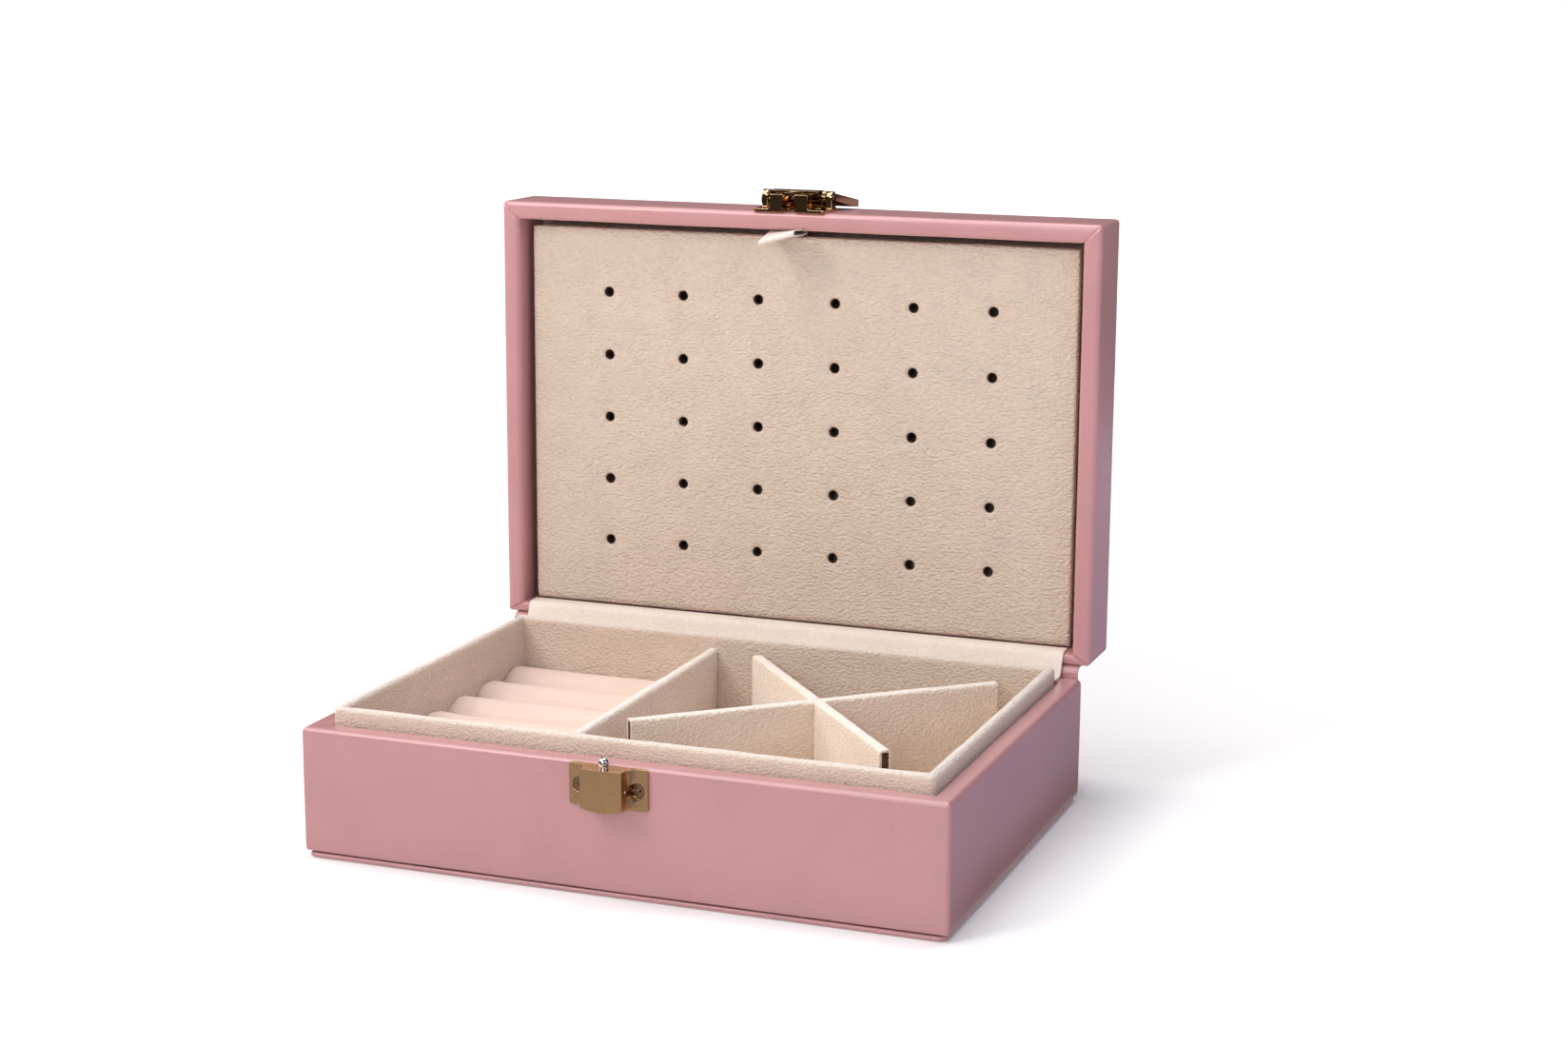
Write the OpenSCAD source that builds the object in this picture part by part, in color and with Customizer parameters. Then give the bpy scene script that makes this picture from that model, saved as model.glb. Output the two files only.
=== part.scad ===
// Leather-covered jewelry box with an open lid, a lined tray, a hinged earring panel and a press latch.
// Millimetres. +Z is up, -Y is the front and the origin is the centre of the underside.

/* [Box] */
// Outer width of the base
box_w = 165; // [140:1:190]
// Outer depth of the base
box_d = 115; // [100:1:130]
// Height of the base's rim above the table
base_h = 33; // [28:0.5:40]
// Thickness of the covered bottom card
plate_t = 1.4; // [1:0.1:2]
// Distance from an outer face to the lining's outer face
wall_t = 5.6; // [5.4:0.1:6.5]
// Thickness of the leather skin
skin_t = 0.6; // [0.4:0.1:0.8]
// Radius of the box's upright edges
edge_r = 1.6; // [1:0.1:3]

/* [Lid] */
// Outer width of the lid
lid_w = 168; // [140:0.1:190]
// Depth of the lid from its rim to its top face
lid_h = 19.4; // [18:0.2:24]
// Thickness of the lid's side and front walls
lid_wall_t = 4.8; // [4:0.1:6]
// Thickness of the lid's rear wall
lid_rear_t = 3; // [2.5:0.1:4]
// Thickness of the lid's top
lid_top_t = 3; // [2:0.1:4]
// Gap between the two rims when the lid is shut
rim_gap = 0.3; // [0.2:0.05:1]
// Distance of the hinge line behind the base's rear face
hinge_back = 1.95; // [1.5:0.05:3]
// Height of the hinge line above the base's rim
hinge_up = 0.95; // [0.5:0.05:2]

/* [Lining] */
// Thickness of the velvet-covered tray walls
liner_t = 2.6; // [2:0.1:3]
// Height of the tray walls above the base's rim
lip_h = 4.2; // [3:0.1:4.2]
// Height of the tray's floor above the table
floor_z = 5; // [4.5:0.1:7]
// Thickness of velvet cloth
velvet_t = 0.5; // [0.3:0.1:0.8]

/* [Ring rolls] */
// Number of ring rolls
roll_count = 6; // [4:1:8]
// Height of the top of the ring rolls above the table
roll_top_z = 25.5; // [20:0.5:30]

/* [Dividers] */
// Left face of the main divider
main_div_x = -19.3; // [-30:0.1:0]
// Thickness of the main divider
main_div_t = 2.9; // [2:0.1:4]
// Height of the dividers' top edges above the table
div_top_z = 33.6; // [28:0.1:34]
// Position of the crossing along X
cross_x = 26.2; // [15:0.1:35]
// Position of the crossing along Y
cross_y = 10.7; // [-5:0.1:12]
// Length of the upper crossing board
cross_len_a = 100; // [80:0.5:102]
// Length of the lower crossing board
cross_len_b = 94; // [80:0.5:97]
// Thickness of each crossing board
cross_t = 2.6; // [2:0.1:3]
// Angle of the upper crossing board
cross_angle_a = 42.5; // [35:0.1:50]
// Angle of the lower crossing board
cross_angle_b = -50.1; // [-55:0.1:-35]

/* [Earring panel] */
// Width of the earring panel
panel_w = 154.4; // [150:0.1:156]
// Thickness of the earring panel
panel_t = 3; // [2:0.1:4]
// Distance of the panel's face behind the lid's rim
panel_recess = 5; // [4.6:0.1:6]
// Distance from the box's centre line to the panel's hinged edge
panel_near = 54.1; // [53:0.1:54.1]
// Distance from the box's centre line to the panel's free edge
panel_far = 50.7; // [50:0.1:52]
// Spacing of the earring holes along X
hole_pitch_x = 21.8; // [18:0.1:24]
// Spacing of the earring holes up the panel
hole_pitch_y = 17.25; // [14:0.05:20]
// Radius of the earring holes
hole_r = 1.25; // [0.8:0.05:1.5]
// Offset of the grid of holes from the panel's centre line
hole_shift = 1.1; // [0:0.1:2]

/* [Pull tab] */
// Width of the ribbon
tab_w = 10; // [6:0.5:14]
// Length of the loop in front of the panel
tab_len = 13; // [8:0.5:16]
// Position of the tab along X
tab_x = -2; // [-10:0.5:10]

/* [Latch] */
// Position of the latch along X
latch_x = -0.5; // [-3:0.1:3]
// Width of both latch plates
latch_w = 20; // [18:0.5:24]
// Height of both latch plates
latch_plate_h = 10.2; // [9:0.1:12]
// Thickness of both latch plates
latch_plate_t = 0.8; // [0.6:0.1:1.2]
// Half width of the raised latch block
block_hw = 5.3; // [5:0.1:6]
// Height of the raised block over the leather
block_out = 5.3; // [5.3:0.1:6]
// Radius of the strike pin's ball
ball_r = 1.33; // [1.2:0.01:1.5]
// Radius of the strike pin's neck
neck_r = 1.12; // [0.8:0.01:1.2]
// Half width of the thumb lever's far end
thumb_hw = 13.9; // [11:0.1:14]
// Radius of the lever's crowned outer face
crown_r = 100; // [50:1:120]

/* [Hidden] */
leather_color = [0.80, 0.56, 0.57];
velvet_color = [0.84, 0.75, 0.67];
roll_color = [0.89, 0.78, 0.70];
board_color = [0.36, 0.27, 0.21];
gold_color = [0.80, 0.62, 0.40];
steel_color = [0.75, 0.75, 0.77];
ribbon_color = [0.93, 0.86, 0.80];
front_y = -box_d / 2;
rear_y = box_d / 2;
hinge_y = rear_y + hinge_back;
hinge_z = base_h + hinge_up;
liner_x = box_w / 2 - wall_t;
liner_y = box_d / 2 - wall_t;
tray_x = liner_x - liner_t;
tray_y = liner_y - liner_t;
lip_z = base_h + lip_h;
roll_pitch = 2 * tray_y / roll_count;
roll_r = roll_pitch / 2 - 0.07;
main_div_x2 = main_div_x + main_div_t;
cross_low_z = floor_z + 0.3;
cross_mid_z = (cross_low_z + div_top_z) / 2;
cross_slot = cross_t + 0.7;
lid_hw = lid_w / 2;
panel_axis_y = panel_near - panel_t / 2;
panel_axis_z = panel_recess + panel_t / 2;
block_top_z = base_h - 0.4;
pin_out = 3.2;
ball_z = block_top_z + 1.45;
pivot_out = 3.6;
pivot_z = 8;
screw_out = 7.2;
base_head_r = 1.85;
lid_head_r = 1.6;

// ---------- shared shapes ----------

// A block with rounded upright edges, centred on the origin
module rounded_block(w, d, h, r) {
    linear_extrude(h) {
        square([w - 2 * r, d], center = true);
        square([w, d - 2 * r], center = true);
        for (sx = [-1, 1], sy = [-1, 1]) {
            translate([sx * (w / 2 - r), sy * (d / 2 - r)])
                circle(r, $fn = 48);
        }
    }
}

// A block given by its low and high corners
module span_block(low, high) {
    translate(low)
        cube(high - low);
}

// Carries a piece from the shut lid, whose rim lies on z = 0, to the open lid
module open_lid() {
    translate([0, hinge_y, hinge_z])
        rotate([-90, 0, 0])
            translate([0, -hinge_y, base_h + rim_gap - hinge_z])
                children();
}

// An upright tray wall of cloth-covered card with a round top, running along X
module liner_wall(length) {
    span_block([-length / 2, 0, floor_z], [length / 2, liner_t, lip_z - liner_t / 2]);
    translate([-length / 2, liner_t / 2, lip_z - liner_t / 2])
        rotate([0, 90, 0])
            cylinder(h = length, r = liner_t / 2, $fn = 48);
}

// A cross-recessed screw whose head faces -Y, sunk a little behind y = 0
module wood_screw(head_r) {
    difference() {
        union() {
            translate([0, 0.12, 0])
                rotate([-90, 0, 0])
                    cylinder(h = 0.28, r = head_r, $fn = 48);
            translate([0, 0.4, 0])
                rotate([-90, 0, 0])
                    cylinder(h = 4.2, r = 0.7, $fn = 32);
        }
        span_block([-1.15, 0, -0.22], [1.15, 0.34, 0.22]);
        span_block([-0.22, 0, -1.15], [0.22, 0.34, 1.15]);
        span_block([-0.42, 0, -0.42], [0.42, 0.9, 0.42]);
    }
}

// The room that a screw needs in a latch plate and the board behind it
module screw_room(head_r, margin) {
    translate([0, -3, 0])
        rotate([-90, 0, 0])
            cylinder(h = 3.45, r = head_r + margin, $fn = 48);
    translate([0, 0.3, 0])
        rotate([-90, 0, 0])
            cylinder(h = 4.4, r = 0.7, $fn = 32);
}

// A raised latch block on its plate, in a plan with the leather on y = 0 and the face towards -Y
module block_plan(out, fillet) {
    difference() {
        union() {
            translate([-block_hw, -out])
                square([2 * block_hw, out - 0.2]);
            translate([-block_hw - fillet, -latch_plate_t - fillet])
                square([2 * (block_hw + fillet), fillet + latch_plate_t / 2]);
        }
        for (s = [-1, 1]) {
            translate([s * (block_hw + fillet), -latch_plate_t - fillet])
                circle(fillet, $fn = 64);
        }
    }
}

// A latch plate lying on the leather, from z = 0 up
module latch_plate() {
    rotate([90, 0, 0])
        translate([0, latch_plate_h / 2, 0])
            rounded_block(latch_w, latch_plate_h, latch_plate_t, 0.8);
}

// ---------- base ----------

module bottom_plate() {
    color(leather_color)
        rounded_block(box_w - 1.6, box_d - 0.6, plate_t, 2.2);
}

module base_floor_board() {
    inner = [box_w / 2 - 5, box_d / 2 - 5];
    color(board_color)
        span_block([-inner[0], -inner[1], plate_t + skin_t], [inner[0], inner[1], 4]);
}

module base_long_board() {
    span_block([-box_w / 2 + skin_t, front_y + skin_t, plate_t + skin_t],
        [box_w / 2 - skin_t, front_y + 5, base_h - skin_t]);
}

module base_short_board() {
    span_block([-box_w / 2 + skin_t, front_y + 5, plate_t + skin_t],
        [-box_w / 2 + 5, rear_y - 5, base_h - skin_t]);
}

module base_front_board() {
    color(board_color)
        difference() {
            base_long_board();
            for (s = [-1, 1]) {
                translate([latch_x + s * screw_out, front_y - latch_plate_t, block_top_z - 5.2])
                    screw_room(base_head_r, 0);
            }
        }
}

module base_rear_board() {
    color(board_color)
        mirror([0, 1, 0])
            base_long_board();
}

module base_left_board() {
    color(board_color)
        base_short_board();
}

module base_right_board() {
    color(board_color)
        mirror([1, 0, 0])
            base_short_board();
}

// One sheet glued over the outside, the rim and the top of the inside of the walls
module base_leather_wrap() {
    turn = 9;
    color(leather_color)
        difference() {
            translate([0, 0, plate_t])
                rounded_block(box_w, box_d, base_h - plate_t, edge_r);
            span_block([-liner_x, -liner_y, 0], [liner_x, liner_y, base_h + 1]);
            difference() {
                span_block([-box_w / 2 + skin_t, front_y + skin_t, plate_t + skin_t],
                    [box_w / 2 - skin_t, rear_y - skin_t, base_h - skin_t]);
                difference() {
                    span_block([-liner_x - skin_t, -liner_y - skin_t, base_h - turn],
                        [liner_x + skin_t, liner_y + skin_t, base_h]);
                    span_block([-liner_x, -liner_y, 0], [liner_x, liner_y, base_h + 1]);
                }
            }
            for (s = [-1, 1]) {
                translate([latch_x + s * screw_out, front_y - latch_plate_t, block_top_z - 5.2])
                    screw_room(base_head_r, 0);
            }
        }
}

// ---------- tray lining ----------

module liner_front_wall() {
    color(velvet_color)
        translate([0, -liner_y, 0])
            liner_wall(2 * tray_x);
}

module liner_rear_wall() {
    color(velvet_color)
        translate([0, tray_y, 0])
            liner_wall(2 * tray_x);
}

module liner_left_wall() {
    color(velvet_color)
        translate([-liner_x, 0, 0])
            rotate([0, 0, -90])
                liner_wall(2 * liner_y);
}

module liner_right_wall() {
    color(velvet_color)
        translate([tray_x, 0, 0])
            rotate([0, 0, -90])
                liner_wall(2 * liner_y);
}

module liner_floor_pad() {
    color(velvet_color)
        span_block([-liner_x, -liner_y, 4], [liner_x, liner_y, floor_z]);
}

// A foam roll covered in velvet, with a round top
module ring_roll(i) {
    low_x = -tray_x + 0.1;
    length = main_div_x - 0.1 - low_x;
    color(roll_color)
        translate([low_x, -tray_y + roll_pitch * (i - 0.5), 0]) {
            span_block([0, -roll_r, floor_z], [length, roll_r, roll_top_z - roll_r]);
            translate([0, 0, roll_top_z - roll_r])
                rotate([0, 90, 0])
                    cylinder(h = length, r = roll_r, $fn = 64);
        }
}

module ring_roll_1() {
    ring_roll(1);
}

module ring_roll_2() {
    ring_roll(2);
}

module ring_roll_3() {
    ring_roll(3);
}

module ring_roll_4() {
    ring_roll(4);
}

module ring_roll_5() {
    ring_roll(5);
}

module ring_roll_6() {
    ring_roll(6);
}

module main_divider_board() {
    color(board_color)
        span_block([main_div_x + velvet_t, -tray_y, floor_z],
            [main_div_x2 - velvet_t, tray_y, div_top_z - velvet_t]);
}

module main_divider_cover() {
    color(velvet_color)
        difference() {
            span_block([main_div_x, -tray_y, floor_z], [main_div_x2, tray_y, div_top_z]);
            span_block([main_div_x + velvet_t, -tray_y - 1, floor_z - 1],
                [main_div_x2 - velvet_t, tray_y + 1, div_top_z - velvet_t]);
        }
}

// ---------- crossing boards ----------

// The bare card of a crossing board along X, before its slot is cut
module cross_core(length) {
    span_block([-length / 2, -cross_t / 2 + velvet_t, cross_low_z],
        [length / 2, cross_t / 2 - velvet_t, div_top_z - velvet_t]);
}

// The cloth over both faces and the top of a crossing board
module cross_cover(length) {
    difference() {
        span_block([-length / 2, -cross_t / 2, cross_low_z], [length / 2, cross_t / 2, div_top_z]);
        span_block([-length, -cross_t / 2 + velvet_t, 0],
            [length, cross_t / 2 - velvet_t, div_top_z - velvet_t]);
    }
}

// The slot for the other board, between two heights
module cross_slot_cut(turn, low, high) {
    rotate([0, 0, turn])
        span_block([-10, -cross_slot / 2, low], [10, cross_slot / 2, high]);
}

module place_cross(angle) {
    translate([cross_x, cross_y, 0])
        rotate([0, 0, angle])
            children();
}

module cross_board_a_core() {
    color(board_color)
        place_cross(cross_angle_a)
            difference() {
                cross_core(cross_len_a);
                cross_slot_cut(cross_angle_b - cross_angle_a, 0, cross_mid_z + 0.15);
            }
}

module cross_board_a_cover() {
    color(velvet_color)
        place_cross(cross_angle_a)
            difference() {
                cross_cover(cross_len_a);
                cross_slot_cut(cross_angle_b - cross_angle_a, 0, cross_mid_z + 0.15);
            }
}

module cross_board_b_core() {
    color(board_color)
        place_cross(cross_angle_b)
            difference() {
                cross_core(cross_len_b);
                cross_slot_cut(cross_angle_a - cross_angle_b, cross_mid_z - 0.15, div_top_z + 1);
            }
}

module cross_board_b_cover() {
    color(velvet_color)
        place_cross(cross_angle_b)
            difference() {
                cross_cover(cross_len_b);
                cross_slot_cut(cross_angle_a - cross_angle_b, cross_mid_z - 0.15, div_top_z + 1);
            }
}

// ---------- base latch ----------

module base_latch_plate() {
    bulge_r = 20;
    color(gold_color)
        difference() {
            union() {
                translate([latch_x, front_y, block_top_z - latch_plate_h])
                    latch_plate();
                intersection() {
                    translate([latch_x, front_y, block_top_z - latch_plate_h])
                        linear_extrude(latch_plate_h)
                            block_plan(block_out, 3.4);
                    translate([latch_x, front_y + 1, block_top_z - latch_plate_h + bulge_r])
                        rotate([90, 0, 0])
                            cylinder(h = 10, r = bulge_r, $fn = 96);
                }
            }
            translate([latch_x, front_y - pin_out, block_top_z - 3.6])
                cylinder(h = 5, r = neck_r, $fn = 48);
            translate([latch_x + block_hw - 2.2, front_y - pin_out, block_top_z - 5.1])
                rotate([0, 90, 0])
                    cylinder(h = 5, r = 0.5, $fn = 32);
            for (s = [-1, 1]) {
                translate([latch_x + s * screw_out, front_y - latch_plate_t, block_top_z - 5.2])
                    screw_room(base_head_r, 0.05);
            }
        }
}

module strike_pin() {
    color(steel_color)
        translate([latch_x, front_y - pin_out, 0])
            rotate_extrude($fn = 64)
                intersection() {
                    union() {
                        translate([0, block_top_z - 3.6])
                            square([neck_r, 4.4]);
                        translate([0, ball_z])
                            circle(ball_r, $fn = 64);
                    }
                    translate([0, block_top_z - 4])
                        square([ball_r, 8]);
                }
}

module strike_cross_pin() {
    color(gold_color)
        translate([latch_x + block_hw - 2.2, front_y - pin_out, block_top_z - 5.1])
            rotate([0, 90, 0])
                cylinder(h = 2.5, r = 0.5, $fn = 32);
}

module base_latch_screw(s) {
    color(gold_color)
        translate([latch_x + s * screw_out, front_y - latch_plate_t, block_top_z - 5.2])
            wood_screw(base_head_r);
}

module base_latch_screw_left() {
    base_latch_screw(-1);
}

module base_latch_screw_right() {
    base_latch_screw(1);
}

// ---------- soft hinge ----------

// The leather strip outside: down the base's back, round the hinge line and over the lid's back
module hinge_spine_strip() {
    t = 0.5;
    r = hinge_back;
    hw = 81.3;
    lid_back = hinge_y + lid_h - (hinge_up - rim_gap);
    color(leather_color)
        rotate([90, 0, 90])
            translate([0, 0, -hw])
                linear_extrude(2 * hw) {
                    translate([rear_y, 4])
                        square([t, hinge_z - 4]);
                    translate([hinge_y, hinge_z])
                        intersection() {
                            difference() {
                                circle(r, $fn = 64);
                                circle(r - t, $fn = 64);
                            }
                            translate([-r, 0])
                                square([r, r]);
                        }
                    translate([hinge_y, hinge_z + r - t])
                        square([lid_back + t - hinge_y, t]);
                    translate([lid_back, hinge_z + r - t])
                        square([t, 8.5]);
                }
}

// The velvet strip inside: from the base's rear rim up and over the lid's rear wall
module hinge_lining_strip() {
    t = 0.5;
    low = base_h + 0.05;
    rim_y = hinge_y + base_h + rim_gap - hinge_z;
    top = hinge_z + hinge_back + lid_rear_t + 0.05;
    color(velvet_color)
        rotate([90, 0, 90])
            translate([0, 0, -77])
                linear_extrude(154)
                    polygon([
                        [liner_y + 0.15, low], [rim_y - 2.2, low], [rim_y - 0.3, top], [rim_y + 4.6, top],
                        [rim_y + 4.6, top + t], [rim_y - 0.7, top + t], [rim_y - 2.7, low + t],
                        [liner_y + 0.15, low + t]
                    ]);
}

// ---------- lid, drawn shut with its rim on z = 0 ----------

module lid_top_board() {
    color(board_color)
        open_lid()
            span_block([-lid_hw + skin_t, front_y + skin_t, lid_h - lid_top_t],
                [lid_hw - skin_t, rear_y - skin_t, lid_h - skin_t]);
}

module lid_front_board() {
    color(board_color)
        open_lid()
            difference() {
                span_block([-lid_hw + skin_t, front_y + skin_t, skin_t],
                    [lid_hw - skin_t, front_y + lid_wall_t - skin_t, lid_h - lid_top_t]);
                for (s = [-1, 1]) {
                    translate([latch_x + s * 6.5, front_y - latch_plate_t, 5.6])
                        screw_room(lid_head_r, 0);
                }
            }
}

module lid_rear_board() {
    color(board_color)
        open_lid()
            span_block([-lid_hw + skin_t, rear_y - lid_rear_t + skin_t, skin_t],
                [lid_hw - skin_t, rear_y - skin_t, lid_h - lid_top_t]);
}

module lid_side_board() {
    span_block([-lid_hw + skin_t, front_y + lid_wall_t - skin_t, skin_t],
        [-lid_hw + lid_wall_t - skin_t, rear_y - lid_rear_t + skin_t, lid_h - lid_top_t]);
}

module lid_left_board() {
    color(board_color)
        open_lid()
            lid_side_board();
}

module lid_right_board() {
    color(board_color)
        open_lid()
            mirror([1, 0, 0])
                lid_side_board();
}

// One sheet over the top, the sides and the rim, turned in along the inside of the walls
module lid_leather_wrap() {
    turn = 10;
    ix = lid_hw - lid_wall_t;
    iy1 = front_y + lid_wall_t;
    iy2 = rear_y - lid_rear_t;
    color(leather_color)
        open_lid()
            difference() {
                rounded_block(lid_w, box_d, lid_h, edge_r);
                span_block([-ix, iy1, -1], [ix, iy2, lid_h - lid_top_t]);
                difference() {
                    span_block([-lid_hw + skin_t, front_y + skin_t, skin_t],
                        [lid_hw - skin_t, rear_y - skin_t, lid_h - skin_t]);
                    span_block([-ix - skin_t, iy1 - skin_t, 0], [ix + skin_t, iy2 + skin_t, turn]);
                }
                for (s = [-1, 1]) {
                    translate([latch_x + s * 6.5, front_y - latch_plate_t, 5.6])
                        screw_room(lid_head_r, 0);
                }
            }
}

module lid_lining() {
    color(velvet_color)
        open_lid()
            span_block([-lid_hw + lid_wall_t, front_y + lid_wall_t, lid_h - lid_top_t - 0.8],
                [lid_hw - lid_wall_t, rear_y - lid_rear_t, lid_h - lid_top_t]);
}

// A flat bar with seven small hooks, behind the panel's free edge
module necklace_hook_bar() {
    back = lid_h - lid_top_t - 0.8;
    bar_y = front_y + 14;
    color(velvet_color)
        open_lid() {
            span_block([-62, bar_y - 3, back - 1.4], [62, bar_y + 3, back]);
            for (i = [-3:3]) {
                translate([i * 19, bar_y, back - 4.6])
                    cylinder(h = 3.4, r = 1.1, $fn = 32);
                translate([i * 19, bar_y - 1.1, back - 5.2])
                    rotate([90, 0, 0])
                        translate([0, 0.6, -2.2])
                            cylinder(h = 4, r = 0.9, $fn = 32);
            }
        }
}

// A shallow elastic pocket that catches the chains, in the lower half of the lid
module necklace_pocket() {
    back = lid_h - lid_top_t - 0.8;
    color(velvet_color)
        open_lid()
            difference() {
                span_block([-60, 8, back - 2.4], [60, 50, back]);
                span_block([-59.2, 7, back - 1.8], [59.2, 49.2, back + 1]);
            }
}

// ---------- earring panel ----------

module earring_holes() {
    for (i = [-2.5:2.5], j = [-2:2]) {
        translate([i * hole_pitch_x, hole_shift + j * hole_pitch_y, 0])
            cylinder(h = 20, r = hole_r, $fn = 32);
    }
}

// The slab of the panel with a round hinged edge, less an even margin
module panel_slab(margin) {
    r = panel_t / 2 - margin;
    length = panel_w - 2 * margin;
    span_block([-length / 2, -panel_far + margin, panel_axis_z - r],
        [length / 2, panel_axis_y, panel_axis_z + r]);
    translate([-length / 2, panel_axis_y, panel_axis_z])
        rotate([0, 90, 0])
            cylinder(h = length, r = r, $fn = 48);
}

module earring_panel_board() {
    color(board_color)
        open_lid()
            difference() {
                panel_slab(velvet_t);
                earring_holes();
            }
}

module earring_panel_velvet() {
    color(velvet_color)
        open_lid()
            difference() {
                panel_slab(0);
                panel_slab(velvet_t);
                earring_holes();
            }
}

// A folded ribbon glued behind the panel's free edge, looping out over it
module pull_tab() {
    t = 0.35;
    r = 0.5;
    back = panel_recess + panel_t + 0.05;
    fold = panel_recess - tab_len + r;
    mid = -panel_far - 0.05 - r;
    color(ribbon_color)
        open_lid()
            translate([tab_x - tab_w / 2, 0, 0])
                rotate([90, 0, 90])
                    linear_extrude(tab_w)
                        difference() {
                            union() {
                                translate([mid - r, fold])
                                    square([2 * r, back + t - fold]);
                                translate([mid, fold])
                                    circle(r, $fn = 48);
                                translate([mid - r, back])
                                    square([7, t]);
                            }
                            translate([mid, fold])
                                circle(r - t, $fn = 48);
                            translate([mid - r + t, fold])
                                square([2 * (r - t), back - fold]);
                        }
}

// ---------- lid latch, on the lid's front wall ----------

module lid_latch_plate() {
    color(gold_color)
        open_lid()
            translate([latch_x, front_y, 0])
                difference() {
                    union() {
                        latch_plate();
                        linear_extrude(3.9)
                            block_plan(block_out - 0.6, 0.6);
                        span_block([-9.05, -1.7, 9.6], [9.05, -0.4, latch_plate_h]);
                        span_block([-2, -2.3, 9.6], [2, -0.4, latch_plate_h]);
                        for (s = [-1, 1]) {
                            translate([s * 9.05 - 0.75, -pivot_out, pivot_z])
                                rotate([0, 90, 0])
                                    cylinder(h = 1.5, r = 1.7, $fn = 48);
                            span_block([s * 9.05 - 0.75, -pivot_out, pivot_z - 1.7],
                                [s * 9.05 + 0.75, -0.4, pivot_z + 1.7]);
                        }
                    }
                    linear_extrude(9, center = true) {
                        translate([0, -2.8])
                            circle(1.8, $fn = 48);
                        translate([-1.8, -2.8])
                            square([3.6, 4]);
                    }
                    span_block([-1.5, -7, -1], [1.5, -4.3, 4.5]);
                    translate([-12, -pivot_out, pivot_z])
                        rotate([0, 90, 0])
                            cylinder(h = 24, r = 0.6, $fn = 32);
                    for (s = [-1, 1]) {
                        translate([s * 6.5, -latch_plate_t, 5.6])
                            screw_room(lid_head_r, 0.05);
                    }
                }
}

module lid_latch_screw(s) {
    color(gold_color)
        open_lid()
            translate([latch_x + s * 6.5, front_y - latch_plate_t, 5.6])
                wood_screw(lid_head_r);
}

module lid_latch_screw_left() {
    lid_latch_screw(-1);
}

module lid_latch_screw_right() {
    lid_latch_screw(1);
}

module latch_pivot_pin() {
    color(steel_color)
        open_lid()
            translate([latch_x - 9.9, front_y - pivot_out, pivot_z])
                rotate([0, 90, 0])
                    cylinder(h = 19.8, r = 0.6, $fn = 32);
}

// A sleeve for the coil spring round the pin
module latch_spring() {
    color(steel_color)
        open_lid()
            translate([latch_x - 2, front_y - pivot_out, pivot_z])
                rotate([0, 90, 0])
                    difference() {
                        cylinder(h = 4, r = 1.1, $fn = 32);
                        translate([0, 0, -1])
                            cylinder(h = 6, r = 0.6, $fn = 32);
                    }
}

// The lever's outline seen from outside the lid
module thumb_outline() {
    polygon([
        [-6.9, 4.3], [6.9, 4.3], [6.9, 9.2], [thumb_hw, 16.4], [thumb_hw - 1, 17.8],
        [-thumb_hw + 1, 17.8], [-thumb_hw, 16.4], [-6.9, 9.2]
    ]);
}

// A rocking lever with a flared thumb end and a hook that catches the strike pin's ball
module latch_lever() {
    hook_low = pin_out + 1.26;
    color(gold_color)
        open_lid()
            translate([latch_x, front_y, 0])
                difference() {
                    union() {
                        translate([-8, -pivot_out, pivot_z])
                            rotate([0, 90, 0])
                                cylinder(h = 16, r = 1.7, $fn = 48);
                        intersection() {
                            rotate([90, 0, 0])
                                linear_extrude(8)
                                    thumb_outline();
                            rotate([90, 0, 90])
                                translate([0, 0, -15])
                                    linear_extrude(30)
                                        polygon([
                                            [-5.4, 4.3], [-5.4, 8.4], [-5, 10.8], [-3.2, 17.8],
                                            [-0.62, 17.8], [-0.75, 15.5], [-2.6, 11.2], [-3.6, 8],
                                            [-4.1, 4.3]
                                        ]);
                            translate([0, -6.25, 6])
                                rotate([-14.4, 0, 0])
                                    translate([0, crown_r, -9])
                                        cylinder(h = 30, r = crown_r, $fn = 360);
                        }
                        span_block([-1.2, -5.2, 0.03], [1.2, -4.75, 5]);
                        span_block([-1.2, -5.2, 0.03], [1.2, -hook_low, 0.28]);
                    }
                    translate([-12, -pivot_out, pivot_z])
                        rotate([0, 90, 0])
                            cylinder(h = 24, r = 0.65, $fn = 32);
                    span_block([-2.3, -pivot_out - 1.2, pivot_z - 2], [2.3, 0, pivot_z + 1.7]);
                }
}

// ---------- nodes ----------

bottom_plate();
base_floor_board();
base_front_board();
base_rear_board();
base_left_board();
base_right_board();
base_leather_wrap();
liner_front_wall();
liner_rear_wall();
liner_left_wall();
liner_right_wall();
liner_floor_pad();
ring_roll_1();
ring_roll_2();
ring_roll_3();
ring_roll_4();
ring_roll_5();
ring_roll_6();
main_divider_board();
main_divider_cover();
cross_board_a_core();
cross_board_a_cover();
cross_board_b_core();
cross_board_b_cover();
base_latch_plate();
strike_pin();
strike_cross_pin();
base_latch_screw_left();
base_latch_screw_right();
hinge_spine_strip();
hinge_lining_strip();
lid_top_board();
lid_front_board();
lid_rear_board();
lid_left_board();
lid_right_board();
lid_leather_wrap();
lid_lining();
necklace_hook_bar();
necklace_pocket();
lid_latch_plate();
lid_latch_screw_left();
lid_latch_screw_right();
latch_pivot_pin();
latch_spring();
latch_lever();
earring_panel_board();
earring_panel_velvet();
pull_tab();
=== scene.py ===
"""A leather-covered jewelry box with its lid open: the looks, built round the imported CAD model."""

import math

import bmesh
import bpy
from mathutils import Matrix, Vector, noise


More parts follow.
